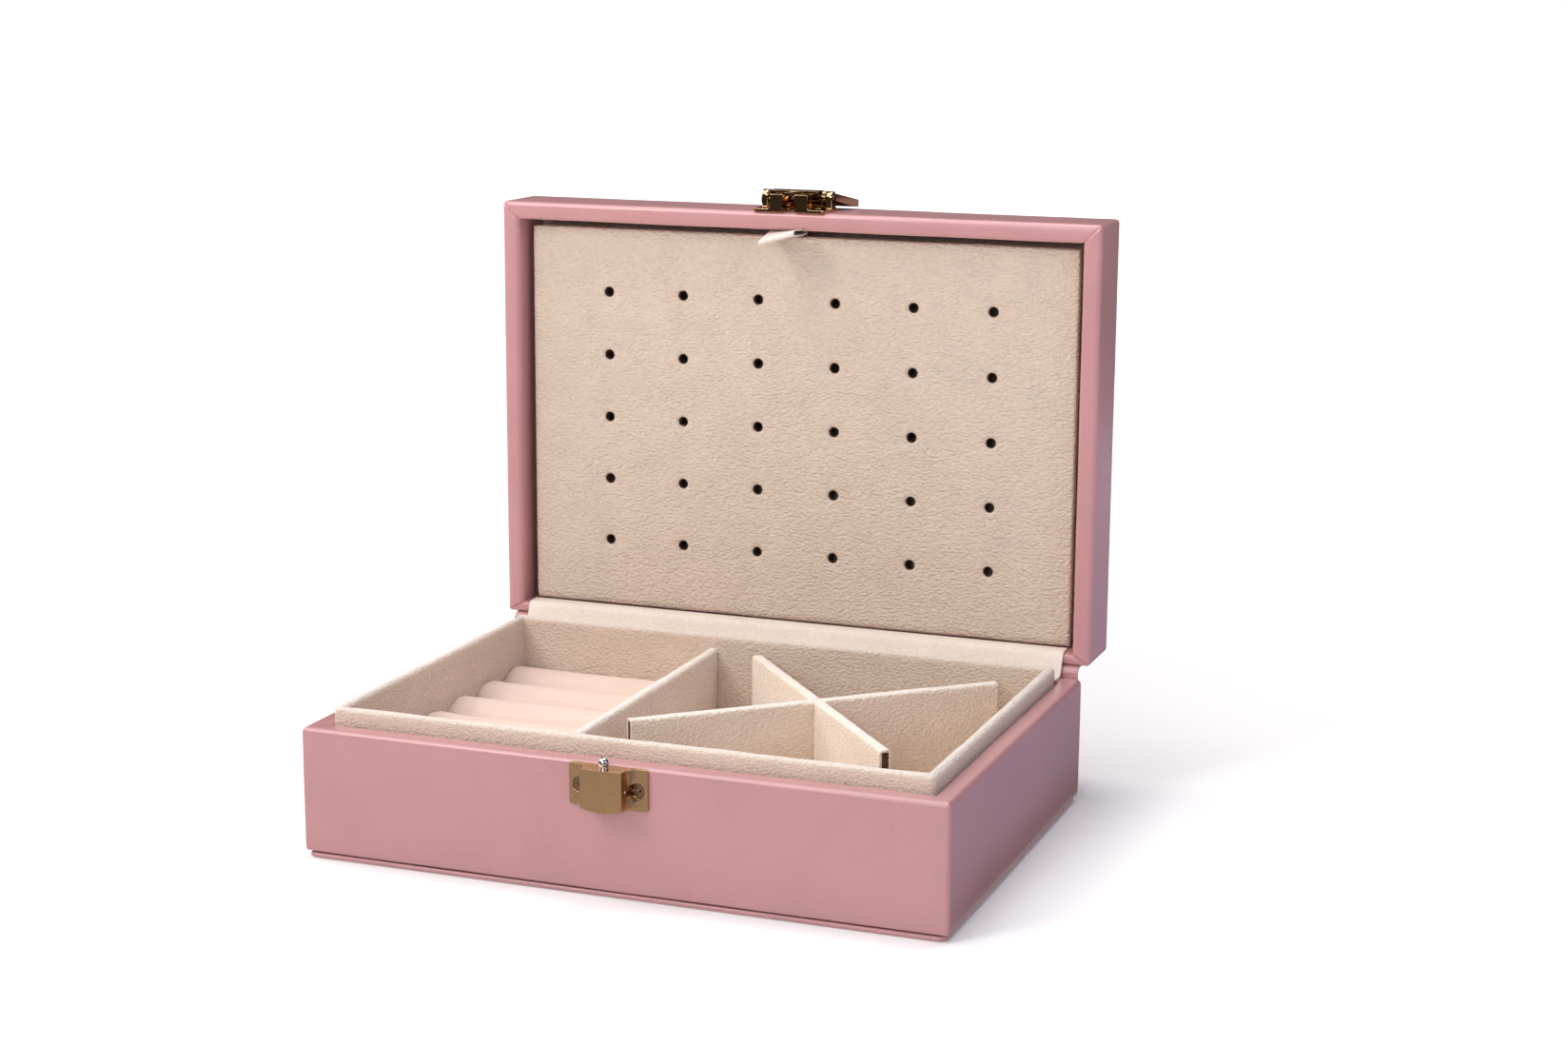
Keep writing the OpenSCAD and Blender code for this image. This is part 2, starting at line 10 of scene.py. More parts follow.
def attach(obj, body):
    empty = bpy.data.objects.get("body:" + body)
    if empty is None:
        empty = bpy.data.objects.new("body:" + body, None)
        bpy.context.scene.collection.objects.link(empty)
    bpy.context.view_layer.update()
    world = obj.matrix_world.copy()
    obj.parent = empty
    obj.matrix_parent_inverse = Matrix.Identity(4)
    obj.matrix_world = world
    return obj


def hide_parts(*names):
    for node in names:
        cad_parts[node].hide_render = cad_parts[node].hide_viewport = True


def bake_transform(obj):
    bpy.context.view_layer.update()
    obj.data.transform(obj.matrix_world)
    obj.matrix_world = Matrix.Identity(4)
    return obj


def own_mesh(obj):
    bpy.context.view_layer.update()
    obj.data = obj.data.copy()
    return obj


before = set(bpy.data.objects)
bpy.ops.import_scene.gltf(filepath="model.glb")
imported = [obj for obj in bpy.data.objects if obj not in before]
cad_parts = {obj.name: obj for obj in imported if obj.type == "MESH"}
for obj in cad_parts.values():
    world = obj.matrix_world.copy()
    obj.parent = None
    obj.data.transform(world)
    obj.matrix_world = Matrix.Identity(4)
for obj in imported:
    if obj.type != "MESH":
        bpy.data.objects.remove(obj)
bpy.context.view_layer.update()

MM = 0.001

# Sizes of the box in millimetres, as the CAD model has them
BASE_X, BASE_Y, BASE_Z = 82.5, 57.5, 33.0
CARD_X, CARD_Y = 81.7, 57.2
WALL = 5.6
LINER_T = 2.6
LIP_Z = 37.2
FLOOR_Z = 5.0
LID_X = 84.0
LID_H, LID_TOP = 19.4, 3.0
LID_WALL, LID_REAR = 4.8, 3.0
LID_SHIFT_Y, LID_SHIFT_Z = 58.8, 93.4
HINGE_Y, HINGE_Z = 59.45, 33.95
EDGE_R = 1.0
DIVIDER_X, DIVIDER_T, DIVIDER_Z = -17.85, 2.9, 33.6
ROLL_TOP_Z = 25.5
CROSSING = (26.2, 10.7)
CROSS_T, CROSS_SLOT, CROSS_SLOT_Z = 3.0, 3.3, 19.45


# ---------- materials ----------

def material(name, color, roughness, metallic=0.0, specular=0.5, sheen=0.0, sheen_tint=None):
    """A node material with its plain values on the shader; returns it with its tree and shader."""
    mat = bpy.data.materials.new(name)
    mat.use_nodes = True
    tree = mat.node_tree
    shader = tree.nodes["Principled BSDF"]
    shader.inputs["Base Color"].default_value = (*color, 1)
    shader.inputs["Roughness"].default_value = roughness
    shader.inputs["Metallic"].default_value = metallic
    shader.inputs["Specular IOR Level"].default_value = specular
    shader.inputs["Sheen Weight"].default_value = sheen
    shader.inputs["Sheen Roughness"].default_value = 0.45
    if sheen_tint:
        shader.inputs["Sheen Tint"].default_value = (*sheen_tint, 1)
    return mat, tree, shader


def add(tree, kind, **values):
    """A node with its properties and inputs set by name."""
    node = tree.nodes.new(kind)
    for key, value in values.items():
        if hasattr(node, key):
            setattr(node, key, value)
        else:
            node.inputs[key.replace("_", " ")].default_value = value
    return node


def stretched_space(tree, scale):
    """Object coordinates multiplied along each axis."""
    coords = add(tree, "ShaderNodeTexCoord")
    mapping = add(tree, "ShaderNodeMapping")
    mapping.inputs["Scale"].default_value = scale
    tree.links.new(coords.outputs["Object"], mapping.inputs["Vector"])
    return mapping.outputs["Vector"]


def noise_at(tree, space, scale, detail=3.0, roughness=0.55):
    """Noise over the given space, with scale in cells per metre."""
    node = add(tree, "ShaderNodeTexNoise", Scale=scale, Detail=detail, Roughness=roughness)
    tree.links.new(space, node.inputs["Vector"])
    return node.outputs["Fac"]


def ramp(tree, value, stops):
    """A colour ramp from a list of (position, colour)."""
    node = add(tree, "ShaderNodeValToRGB")
    elements = node.color_ramp.elements
    elements[0].position, elements[0].color = stops[0][0], (*stops[0][1], 1)
    elements[1].position, elements[1].color = stops[-1][0], (*stops[-1][1], 1)
    for position, color in stops[1:-1]:
        elements.new(position).color = (*color, 1)
    tree.links.new(value, node.inputs["Fac"])
    return node.outputs["Color"]


def spread(tree, value, low, high, out_low, out_high):
    """A value carried over from one range to another."""
    node = add(tree, "ShaderNodeMapRange")
    for i, limit in enumerate((low, high, out_low, out_high)):
        node.inputs[i + 1].default_value = limit
    tree.links.new(value, node.inputs["Value"])
    return node.outputs["Result"]


def combine(tree, a, b, operation):
    """Two values by a maths operation; b may be a number."""
    node = add(tree, "ShaderNodeMath", operation=operation)
    tree.links.new(a, node.inputs[0])
    if isinstance(b, (int, float)):
        node.inputs[1].default_value = b
    else:
        tree.links.new(b, node.inputs[1])
    return node.outputs[0]


def weighted(tree, *parts):
    """The sum of values, from pairs of a value and its share."""
    terms = [combine(tree, value, share, "MULTIPLY") for value, share in parts]
    total = terms[0]
    for term in terms[1:]:
        total = combine(tree, total, term, "ADD")
    return total


def bump(tree, shader, height, strength, distance, below=None):
    """Relief from a height, distance in millimetres deep, over the relief below."""
    node = add(tree, "ShaderNodeBump", Strength=strength, Distance=distance * MM)
    tree.links.new(height, node.inputs["Height"])
    if below is not None:
        tree.links.new(below, node.inputs["Normal"])
    tree.links.new(node.outputs["Normal"], shader.inputs["Normal"])
    return node.outputs["Normal"]


def tinted(color, factor):
    """The colour made lighter or darker."""
    return tuple(min(1.0, c * factor) for c in color)


def leather(name, color):
    """Smooth imitation leather: a faint fine grain and soft clouding."""
    mat, tree, shader = material(name, color, 0.36, specular=0.5, sheen=0.06)
    shader.inputs["Coat Weight"].default_value = 0.75
    shader.inputs["Coat Roughness"].default_value = 0.22
    space = stretched_space(tree, (1, 1, 1))
    clouds = noise_at(tree, space, 38, 4)
    grain = add(tree, "ShaderNodeTexVoronoi", Scale=1500.0)
    tree.links.new(space, grain.inputs["Vector"])
    tone = combine(tree, clouds, spread(tree, grain.outputs["Distance"], 0, 1, -0.12, 0.12), "ADD")
    colors = [(0.30, tinted(color, 0.94)), (0.52, color), (0.75, tinted(color, 1.05))]
    tree.links.new(ramp(tree, tone, colors), shader.inputs["Base Color"])
    tree.links.new(spread(tree, clouds, 0.3, 0.7, 0.32, 0.42), shader.inputs["Roughness"])
    wrinkles = noise_at(tree, stretched_space(tree, (0.35, 0.6, 1)), 620, 4, 0.6)
    rough = bump(tree, shader, wrinkles, 0.16, 0.16)
    bump(tree, shader, grain.outputs["Distance"], 0.14, 0.06, rough)
    return mat


def painted_top_light(tree, shader, color, pale, share):
    """Painted highlight: faces turned upwards are mixed towards a paler colour than the sides, as if the
    top light fell on them.
    """
    facing = add(tree, "ShaderNodeNewGeometry")
    split = add(tree, "ShaderNodeSeparateXYZ")
    tree.links.new(facing.outputs["Normal"], split.inputs[0])
    mix = add(tree, "ShaderNodeMix", data_type="RGBA")
    tree.links.new(spread(tree, split.outputs["Z"], 0.35, 0.95, 0, share), mix.inputs["Factor"])
    tree.links.new(color, mix.inputs[6])
    mix.inputs[7].default_value = (*pale, 1)
    tree.links.new(mix.outputs[2], shader.inputs["Base Color"])


def velvet(
    name, color, along=(0.75, 0.75, 1), grain=0.62, strength=0.85, depth=0.27, lit_tops=None, nap=0.22
):
    """Short pile pressed into soft pebbles; grain is their pitch in millimetres, along draws them out."""
    mat, tree, shader = material(
        name, color, 0.92, specular=0.12, sheen=nap, sheen_tint=(1, 0.95, 0.92)
    )
    space = stretched_space(tree, along)
    bend = add(tree, "ShaderNodeTexNoise", Scale=0.42 / (grain * MM), Detail=1.0)
    tree.links.new(space, bend.inputs["Vector"])
    shift = add(tree, "ShaderNodeVectorMath", operation="MULTIPLY_ADD")
    tree.links.new(bend.outputs["Color"], shift.inputs[0])
    shift.inputs[1].default_value = (grain * MM * 0.9,) * 3
    tree.links.new(space, shift.inputs[2])
    cells = add(
        tree, "ShaderNodeTexVoronoi", feature="SMOOTH_F1", Scale=1.0 / (grain * MM), Smoothness=0.25
    )
    tree.links.new(shift.outputs[0], cells.inputs["Vector"])
    height = spread(tree, cells.outputs["Distance"], 0.15, 0.85, 1, 0)
    plain = stretched_space(tree, (1, 1, 1))
    pile = noise_at(tree, plain, 5200, 2)
    clouds = noise_at(tree, plain, 95, 3)
    # The pebbles' height also darkens their valleys in the colour: painted shade in the relief; pile and
    # clouds are the cloth's own tone.
    tone = weighted(tree, (height, 0.20), (pile, 0.42), (clouds, 0.38))
    colors = [(0.30, tinted(color, 0.88)), (0.50, color), (0.70, tinted(color, 1.07))]
    shade = ramp(tree, tone, colors)
    tree.links.new(shade, shader.inputs["Base Color"])
    # Upward faces mixed paler: painted top light.
    if lit_tops:
        painted_top_light(tree, shader, shade, lit_tops, 0.7)
    fine = bump(tree, shader, pile, 0.25, 0.04)
    bump(tree, shader, height, strength, depth, fine)
    return mat


def plain_velvet(name, color):
    """Short pile without a pressed grain, brushed into soft streaks."""
    mat, tree, shader = material(name, color, 0.9, specular=0.12, sheen=0.3, sheen_tint=(1, 0.94, 0.88))
    space = stretched_space(tree, (1, 1, 1))
    pile = noise_at(tree, space, 3800, 3)
    brushed = noise_at(tree, stretched_space(tree, (0.25, 1, 1)), 260, 4)
    tone = weighted(tree, (pile, 0.45), (brushed, 0.6))
    colors = [(0.34, tinted(color, 0.93)), (0.52, color), (0.70, tinted(color, 1.05))]
    tree.links.new(ramp(tree, tone, colors), shader.inputs["Base Color"])
    soft = bump(tree, shader, brushed, 0.3, 0.14)
    bump(tree, shader, pile, 0.6, 0.09, soft)
    return mat


def metal(name, color, roughness, streak):
    """Plated metal with faint polishing streaks and a little clouding."""
    mat, tree, shader = material(name, color, roughness, metallic=1.0)
    space = stretched_space(tree, (1, 1, 1))
    streaks = noise_at(tree, stretched_space(tree, (0.12, 1, 1)), 2400, 3)
    clouds = noise_at(tree, space, 190, 3)
    clouded = spread(tree, clouds, 0.3, 0.7, roughness * 0.8, roughness * 1.25)
    tree.links.new(clouded, shader.inputs["Roughness"])
    colors = [(0.3, tinted(color, 0.93)), (0.7, tinted(color, 1.04))]
    tree.links.new(ramp(tree, clouds, colors), shader.inputs["Base Color"])
    bump(tree, shader, streaks, streak, 0.01)
    return mat


def cardboard(name, color):
    """Bare dark board, with pressed layers and loose fibres."""
    mat, tree, shader = material(name, color, 0.9, specular=0.2)
    layers = noise_at(tree, stretched_space(tree, (1, 1, 0.1)), 2600, 3)
    fibres = noise_at(tree, stretched_space(tree, (0.3, 1, 1)), 900, 4)
    tone = weighted(tree, (layers, 0.5), (fibres, 0.5))
    colors = [(0.35, tinted(color, 0.5)), (0.5, color), (0.68, tinted(color, 1.9))]
    tree.links.new(ramp(tree, tone, colors), shader.inputs["Base Color"])
    bump(tree, shader, tone, 0.6, 0.15)
    return mat


def ribbon(name, color):
    """Satin ribbon: fine cross ribs and a silky sheen."""
    mat, tree, shader = material(name, color, 0.36, specular=0.4, sheen=0.25)
    space = stretched_space(tree, (1, 1, 1))
    ribs = add(tree, "ShaderNodeTexWave", Scale=1300.0, Distortion=1.2, Detail=2.0)
    ribs.bands_direction = "X"
    tree.links.new(space, ribs.inputs["Vector"])
    clouds = noise_at(tree, space, 700, 3)
    tone = combine(tree, combine(tree, ribs.outputs["Fac"], 0.3, "MULTIPLY"), clouds, "ADD")
    colors = [(0.35, tinted(color, 0.9)), (0.85, tinted(color, 1.06))]
    tree.links.new(ramp(tree, tone, colors), shader.inputs["Base Color"])
    bump(tree, shader, ribs.outputs["Fac"], 0.12, 0.02)
    return mat


PINK = (0.500, 0.240, 0.249)
# The second colour is a paler copy of the beige for the board covers: painted light on the boards.
BEIGE, BOARD_LIT_BEIGE, HINGE_BEIGE = (0.672, 0.545, 0.447), (0.84, 0.70, 0.575), (0.84, 0.74, 0.66)
# Paler colours for upward-facing velvet: painted top light.
TRAY_LIT_TOPS, BOARD_LIT_TOPS = (0.76, 0.69, 0.63), (0.86, 0.80, 0.75)
leather_pink = leather("leather_pink", PINK)
# The lid's leather is a paler copy of the pink: painted light, as if the lid were lit more than the base.
leather_lid_lit = leather("leather_lid_lit", tinted(PINK, 1.13))
velvet_panel = velvet("velvet_panel", BEIGE, (0.6, 1, 1), grain=0.68, strength=0.95, depth=0.38)
velvet_tray = velvet("velvet_tray", BEIGE, lit_tops=TRAY_LIT_TOPS, nap=0.7)
# The boards' velvet is a lit copy of the tray's: paler beige and paler tops, painted light.
velvet_boards_lit = velvet("velvet_boards_lit", BOARD_LIT_BEIGE, lit_tops=BOARD_LIT_TOPS, nap=0.9)
velvet_floor = velvet("velvet_floor", BEIGE)
velvet_hinge = velvet("velvet_hinge", HINGE_BEIGE, grain=0.6, strength=0.3, depth=0.16)
velvet_rolls = plain_velvet("velvet_rolls", (0.73, 0.57, 0.495))
card = cardboard("card_board", (0.085, 0.05, 0.032))
gold_satin = metal("gold_satin", (0.62, 0.385, 0.205), 0.26, 0.06)
gold_polished = metal("gold_polished", (0.74, 0.47, 0.25), 0.10, 0.03)
# A darkened copy of the gold: painted dark reflections on the latch lever and the base screws.
gold_painted_dark = metal("gold_painted_dark", (0.30, 0.19, 0.11), 0.10, 0.03)
steel = metal("bright_steel", (0.76, 0.76, 0.79), 0.12, 0.04)
satin = ribbon("satin_ribbon", (0.80, 0.70, 0.62))


# ---------- mesh helpers ----------

def open_lid(point):
    """From the shut lid, whose rim lies on z = 0, to the open lid at rest."""
    x, y, z = point
    return x, LID_SHIFT_Y + z, LID_SHIFT_Z - y


def make(name, points, faces, mat, place=None, smooth=True):
    """A mesh piece from points in millimetres, with doubled points merged and faces turned outwards."""
    if place:
        points = [place(p) for p in points]
    mesh = bpy.data.meshes.new(name)
    mesh.from_pydata([Vector(p) * MM for p in points], [], faces)
    cleaner = bmesh.new()
    cleaner.from_mesh(mesh)
    bmesh.ops.remove_doubles(cleaner, verts=cleaner.verts, dist=0.004 * MM)
    bmesh.ops.recalc_face_normals(cleaner, faces=cleaner.faces)
    for face in cleaner.faces:
        face.smooth = smooth
    cleaner.to_mesh(mesh)
    cleaner.free()
    mesh.materials.append(mat)
    piece = bpy.data.objects.new(name, mesh)
    bpy.context.scene.collection.objects.link(piece)
    return piece


def settle(piece, body, slot, *nodes):
    """The piece rides on a body and stands for CAD nodes, which it hides; slot is not used."""
    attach(piece, body)
    if nodes:
        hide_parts(*nodes)
    return piece


def uneven(piece, amount, size, seed):
    """Moves points along their normals by smooth noise, amount and size in millimetres."""
    mesh = piece.data
    offset = Vector((seed * 7.3, seed * 3.1, seed * 5.7))
    moves = [
        v.normal * amount * MM * noise.noise(v.co / (size * MM) + offset) for v in mesh.vertices
    ]
    for vertex, move in zip(mesh.vertices, moves):
        vertex.co += move
    mesh.update()


def steps(low, high, pitch):
    """Even stations from low to high, about pitch apart."""
    count = max(1, round((high - low) / pitch))
    return [low + (high - low) * i / count for i in range(count + 1)]


def edged_steps(low, high, pitch, insets=(0, 0.2, 0.5, 1.0, 1.8, 3.0), full=None):
    """Stations close together near both ends; full is the length that sets their number."""
    count = max(1, round(((full or high - low) - 2 * insets[-1]) / pitch))
    squeeze = min(1.0, max(0.0, high - low) / (4 * insets[-1]))
    near = [i * squeeze for i in insets]
    start, span = low + near[-1], high - low - 2 * near[-1]
    inner = [start + span * i / count for i in range(count + 1)]
    return [low + i for i in near[:-1]] + inner + [high - i for i in reversed(near[:-1])]


def arc(centre, radius, start, end, count):
    """Points on an arc, in degrees."""
    angles = [math.radians(start + (end - start) * i / count) for i in range(count + 1)]
    return [(centre[0] + radius * math.cos(a), centre[1] + radius * math.sin(a)) for a in angles]


def ring(half_x, half_y, inset, radius, rear=1.0, pitch=3.0, corner=6):
    """Points round a rectangle moved in by inset, or by rear times inset along the rear side."""
    r = max(radius - inset, 0.12)
    low_x, high_x = -(half_x - inset), half_x - inset
    low_y, high_y = -(half_y - inset), half_y - inset * rear
    run_x = edged_steps(low_x + r, high_x - r, pitch, full=2 * half_x)
    run_y = edged_steps(low_y + r, high_y - r, pitch, full=2 * half_y)
    corners = [
        ((high_x - r, low_y + r), -90), ((high_x - r, high_y - r), 0),
        ((low_x + r, high_y - r), 90), ((low_x + r, low_y + r), 180)
    ]
    sides = [
        [(x, low_y) for x in run_x], [(high_x, y) for y in run_y],
        [(x, high_y) for x in reversed(run_x)], [(low_x, y) for y in reversed(run_y)]
    ]
    points = []
    for side, (centre, start) in zip(sides, corners):
        points += side
        points += arc(centre, r, start, start + 90, corner)[1:-1]
    return points


def grid(rows, wide):
    """Quads over rows of points that are each wide points long."""
    return [
        (a, a + 1, a + wide + 1, a + wide)
        for j in range(rows - 1) for a in range(j * wide, (j + 1) * wide - 1)
    ]


def thickened(piece, thickness, offset=0):
    """Gives a sheet its thickness in millimetres, both ways or, with offset -1, inwards."""
    thick = piece.modifiers.new("thickness", "SOLIDIFY")
    thick.thickness, thick.offset = thickness * MM, offset
    return piece


def bands(rings, closed_ring=True, closed_profile=False):
    """Quads between neighbouring rings of equal length."""
    count = len(rings[0])
    faces = []
    pairs = list(zip(range(len(rings) - 1), range(1, len(rings))))
    if closed_profile:
        pairs.append((len(rings) - 1, 0))
    for a, b in pairs:
        for i in range(count if closed_ring else count - 1):
            j = (i + 1) % count
            faces.append((a * count + i, a * count + j, b * count + j, b * count + i))
    return faces


def swept_walls(name, half_x, half_y, radius, profile, mat, shut=True, place=None, change=None):
    """A profile of (inset, height) carried round the four sides; a third value is the rear side's share."""
    rings = []
    for inset, height, *rear in profile:
        rings.append([(x, y, height) for x, y in ring(half_x, half_y, inset, radius, *rear)])
    points = [p for r in rings for p in r]
    if change:
        points = [change(p) for p in points]
    return make(name, points, bands(rings, closed_profile=shut), mat, place)


def lofted(name, sections, mat, place=None):
    """A closed body from equal loops of points, with its two ends filled."""
    count = len(sections[0])
    points = [p for s in sections for p in s]
    faces = bands(sections)
    faces.append(tuple(reversed(range(count))))
    faces.append(tuple(range((len(sections) - 1) * count, len(sections) * count)))
    return make(name, points, faces, mat, place)


def rounded_card(width, height, radius, count=4):
    """A loop round an upright card: square below, rounded on top, centred on x."""
    half = width / 2
    loop = [(-half, 0), (half, 0)]
    loop += [(half, z) for z in steps(1.5, height - radius - 0.5, 2.5)]
    loop += arc((half - radius, height - radius), radius, 0, 90, count)
    loop += arc((-half + radius, height - radius), radius, 90, 180, count)
    loop += [(-half, z) for z in reversed(steps(1.5, height - radius - 0.5, 2.5))]
    return loop


# ---------- leather outside ----------

def base_wrap():
    """The leather over the base's outside, its rim and the top of its inside."""
    rim, inner_rim, inside = 1.4, 1.25, WALL - 0.05
    profile = [(inside, 2.2), (1.0, 1.7)]
    profile += [(0.8 - a, 2.4 - b) for a, b in arc((0, 0), 0.75, 90, 0, 4)]
    profile += [(0, z) for z in steps(4, 29.5, 3.5)]
    profile += arc((rim, BASE_Z - rim), rim, 180, 90, 7)
    profile += [(2.4, BASE_Z + 0.06), (3.6, BASE_Z + 0.02)]
    profile += arc((inside - inner_rim, BASE_Z - inner_rim), inner_rim, 85, 0, 5)
    profile += [(inside, 28), (inside, 15)]
    wrap = swept_walls("leather_base_cover", BASE_X, BASE_Y, EDGE_R, profile, leather_pink)
    uneven(wrap, 0.10, 26, 1)
    uneven(wrap, 0.03, 5, 2)
    return settle(wrap, "base", "leather_pink", "base_leather_wrap")


def bottom_card():
    """The leather-covered card under the base, with its edge turned round."""
    profile = [(0, 0.7)] + [(0.6 - a * 0.6, 0.7 + b * 0.62) for a, b in arc((0, 0), 1, 10, 90, 4)]
    profile += [(inset, 1.32) for inset in (3, 10, 30, CARD_Y)]
    below = [(inset, 1.4 - height) for inset, height in reversed(profile)]
    plate = swept_walls(
        "leather_bottom_card", CARD_X, CARD_Y, 2.0, below + profile, leather_pink, shut=False
    )
    return settle(plate, "base", "leather_pink", "bottom_plate")


def creased(point):
    """Folds in the leather at the lid's four mitred rim corners."""
    x, y, z = point
    if z > 4:
        return point
    rear = LID_REAR / LID_WALL if y > 0 else 1.0
    side_x, side_y = LID_X - abs(x), BASE_Y - abs(y)
    span = math.hypot(1, rear)
    across = (side_x * rear - side_y) / span
    along = (side_x + side_y * rear) / span
    fade = max(0.0, 1 - z / 4) * min(1.0, along / 1.2)
    groove = 0.26 * math.exp(-((across - 0.05) / 0.26) ** 2)
    lip = 0.20 * math.exp(-((across + 0.55) / 0.35) ** 2)
    pucker = 0.07 * math.exp(-(across / 1.8) ** 2) * math.sin(5 * along)
    depth = (groove - lip + pucker) * fade
    if x * y > 0 and y > 0:
        depth += 0.3 * fade * math.exp(-((side_y - 4.4 - 0.35 * side_x) / 0.25) ** 2)
    return x, y, z + depth


def lid_wrap():
    """The leather over the lid, from inside its walls round the rim to its top."""
    inner_rim, outer_rim, top_edge = 1.45, 1.4, 1.3
    thin = LID_REAR / LID_WALL
    profile = [(LID_WALL, z) for z in (15.8, 12, 8, 5, 3)]
    profile += arc((LID_WALL - inner_rim, inner_rim), inner_rim, 0, -85, 8)
    profile += [(2.4, -0.04)]
    profile += arc((outer_rim, outer_rim), outer_rim, -95, -180, 8)
    profile = [(inset, height, thin) for inset, height in profile]
    profile += [(0, z) for z in steps(3.5, 16.6, 3.2)]
    profile += arc((top_edge, LID_H - top_edge), top_edge, 180, 90, 6)
    over_top = (2.2, 3.5, 6, 10, 16, 24, 34, 46, 57.5)
    profile += [(inset, LID_H + 0.3 * min(1, inset / 30)) for inset in over_top]
    wrap = swept_walls(
        "leather_lid_cover", LID_X, BASE_Y, EDGE_R, profile, leather_lid_lit,
        shut=False, place=open_lid, change=creased
    )
    uneven(wrap, 0.10, 24, 3)
    uneven(wrap, 0.03, 5, 4)
    return settle(wrap, "lid", "leather_pink", "lid_leather_wrap")


# ---------- velvet tray ----------

def tray_walls():
    """The tray's four velvet walls, with their soft round lip."""
    half_x, half_y = BASE_X - WALL, BASE_Y - WALL
    radius = LINER_T / 2
    profile = [(0.05, z) for z in (6, 15, 28, 34, 35)]
    profile += arc((radius, LIP_Z - radius), radius - 0.03, 180, 0, 10)
    profile += [(LINER_T, z) for z in (34.5, 32, 28, 24, 20, 16, 12, 8, 6, 5)]
    tray = swept_walls("velvet_tray_walls", half_x, half_y, 1.5, profile, velvet_tray)
    uneven(tray, 0.16, 9, 5)
    nodes = ["liner_front_wall", "liner_rear_wall", "liner_left_wall", "liner_right_wall"]
    return settle(tray, "base", "velvet_beige", *nodes)


def tray_floor():
    """The velvet pad on the tray's floor."""
    half_x, half_y = BASE_X - WALL - 0.1, BASE_Y - WALL - 0.1
    xs, ys = steps(-half_x, half_x, 2.4), steps(-half_y, half_y, 2.4)
    points = [
        (x, y, FLOOR_Z - 0.05 + 0.06 * noise.noise(Vector((x, y, 3)) / 9)) for y in ys for x in xs
    ]
    floor = make("velvet_tray_floor", points, grid(len(ys), len(xs)), velvet_floor)
    return settle(thickened(floor, 0.9, -1), "base", "velvet_beige", "liner_floor_pad")


def puffed(piece, held, pressure, cap, enlarge=25.0):
    """Inflates a closed cloth form with Blender's cloth, moving no point further than cap."""
    mesh = piece.data
    start = [v.co.copy() for v in mesh.vertices]
    pins = piece.vertex_groups.new(name="held")
    pins.add([i for i, co in enumerate(start) if held(co / MM)], 1.0, "REPLACE")
    for vertex in mesh.vertices:
        vertex.co = vertex.co * enlarge
    cloth = piece.modifiers.new("cloth", "CLOTH")
    cloth.settings.quality = 6
    cloth.settings.vertex_group_mass = "held"
    cloth.settings.use_pressure = True
    cloth.settings.uniform_pressure_force = pressure
    cloth.settings.shrink_min = -0.012
    cloth.settings.effector_weights.gravity = 0
    scene = bpy.context.scene
    for step in range(1, 21):
        scene.frame_set(step)
    result = piece.evaluated_get(bpy.context.evaluated_depsgraph_get()).to_mesh()
    moved = [v.co / enlarge for v in result.vertices]
    piece.modifiers.remove(cloth)
    scene.frame_set(1)
    for vertex, before, after in zip(mesh.vertices, start, moved):
        move = after - before
        if move.length > cap * MM:
            move = move.normalized() * cap * MM
        vertex.co = before + move
    piece.vertex_groups.clear()
    mesh.update()


def ring_rolls():
    """Six padded rolls side by side, flat below and round on top."""
    low_x, high_x = -74.1, -19.5
    pitch = 2 * (BASE_Y - WALL - LINER_T) / 6
    radius = pitch / 2 - 0.42
    for index in range(6):
        centre_y = -(BASE_Y - WALL - LINER_T) + pitch * (index + 0.5)
        low_z, spring_z = FLOOR_Z + 0.1, ROLL_TOP_Z - pitch / 2
        loop = [(y, low_z) for y in steps(-radius, radius, 2.0)]
        loop += [(radius, z) for z in steps(low_z + 1.5, spring_z - 1, 1.6)]
        loop += [(a, spring_z + b * 1.0) for a, b in arc((0, 0), radius, 0, 180, 16)]
        loop += [(-radius, z) for z in reversed(steps(low_z + 1.5, spring_z - 1, 1.6))]
        sections = []
        for x in edged_steps(low_x, high_x, 1.7, (0, 0.25, 0.7, 1.4, 2.4)):
            inset = min(x - low_x, high_x - x)
            shrink = 1 - 0.07 * math.exp(-(inset / 0.5) ** 2)
            sections.append([
                (x, centre_y + y * shrink, low_z + (z - low_z) * shrink) for y, z in loop
            ])
        roll = lofted(f"velvet_ring_roll_{index + 1}", sections, velvet_rolls)
        puffed(roll, lambda co, low=low_z: co.z < low + 0.5, 3.0 + 0.25 * (index % 3), 0.33)
        uneven(roll, 0.14, 11, 20 + index)
        settle(roll, "base", "velvet_rolls", f"ring_roll_{index + 1}")


def main_divider():
    """The fixed divider beside the rolls, pinched a little at its ends."""
    loop = rounded_card(DIVIDER_T, DIVIDER_Z - FLOOR_Z, 1.2)
    half = BASE_Y - WALL - LINER_T
    sections = []
    for y in edged_steps(-half, half, 2.2):
        inset = half - abs(y)
        shrink = 1 - 0.12 * math.exp(-(inset / 0.3) ** 2)
        sections.append([(DIVIDER_X + x * shrink, y, FLOOR_Z + z) for x, z in loop])
    cover = lofted("velvet_main_divider", sections, velvet_boards_lit)
    uneven(cover, 0.12, 8, 6)
    return settle(cover, "base", "velvet_beige", "main_divider_cover", "main_divider_board")


